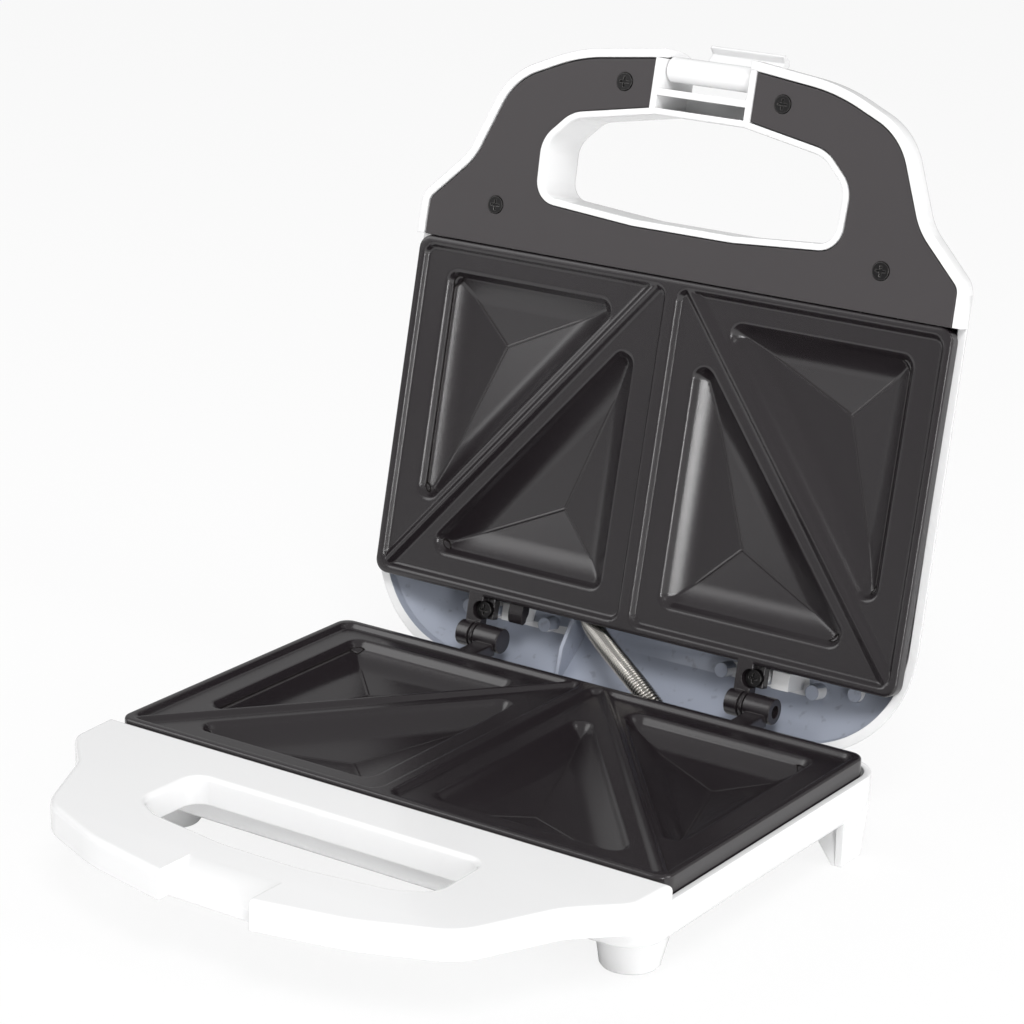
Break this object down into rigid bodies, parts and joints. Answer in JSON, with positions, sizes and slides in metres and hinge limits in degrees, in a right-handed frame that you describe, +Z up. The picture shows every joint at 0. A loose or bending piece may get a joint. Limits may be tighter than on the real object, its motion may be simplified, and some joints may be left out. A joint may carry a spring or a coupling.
{
  "type": "sandwich toaster",
  "caption": "Two-slice sandwich toaster standing open: white tub base and domed lid with dark cast plates, looped handles, hinged clip and a sprung conduit between the halves.",
  "frame": {"origin": "on the table, under the middle of the part", "axes": "+X to the right seen from the handles, +Y to the hinges at the rear, +Z up"},
  "size_m": [0.2216, 0.3002, 0.2454],
  "materials": {
    "white_plastic": "gloss, faint orange peel",
    "nonstick": "satin non-stick coat, fine speckle",
    "cover_plastic": "smooth matt",
    "heater_steel": "heat-tinted",
    "bright_steel": "bright",
    "zinc_steel": "zinc plated",
    "reflector_sheet": "mill finish",
    "black_screw": "black oxide, satin",
    "ceramic": "unglazed",
    "brass_screw": "satin",
    "wire_sleeve": "braided sleeve",
    "bush_plastic": "satin",
    "lamp_glass": "clear",
    "red_lens": "clear red",
    "green_lens": "clear green"
  },
  "bodies": {
    "base": {"base_casing": "white_plastic", "base_plate": "nonstick", "base_element": "heater_steel", "base_clamps": "zinc_steel", "base_clamp_screws": "zinc_steel", "base_reflector": "reflector_sheet", "base_screws": "zinc_steel", "terminal_block": "ceramic", "terminal_screws": "brass_screw", "base_wires": "wire_sleeve", "cord_bush": "bush_plastic", "spring_conduit": "bright_steel"},
    "lid": {"lid_casing": "white_plastic", "lid_plate": "nonstick", "handle_cover": "cover_plastic", "cover_screws": "black_screw", "hinge_screws": "black_screw", "hinge_pins": "bright_steel", "lid_element": "heater_steel", "lid_clamps": "zinc_steel", "lid_clamp_screws": "zinc_steel", "lid_reflector": "reflector_sheet", "lid_reflector_screws": "zinc_steel", "thermostat": "ceramic", "thermal_fuse": "heater_steel", "fuse_clip": "bright_steel", "lamp_holder": "white_plastic", "neon_lamps": "lamp_glass", "power_lens": "red_lens", "ready_lens": "green_lens", "lid_wires": "wire_sleeve", "latch_pin": "bright_steel"},
    "latch": {"latch_clip": "white_plastic"}
  },
  "joints": [
    {"name": "lid_hinge", "type": "hinge", "parent": "base", "child": "lid", "pos_m": [0, 0.0735, 0.0355], "axis": [1, 0, 0], "range_deg": [0, 102.2], "deforming": ["spring_conduit"]},
    {"name": "latch_hinge", "type": "hinge", "parent": "lid", "child": "latch", "pos_m": [0, 0.12534, 0.23741], "axis": [1, 0, 0], "range_deg": [0, 132]}
  ]
}
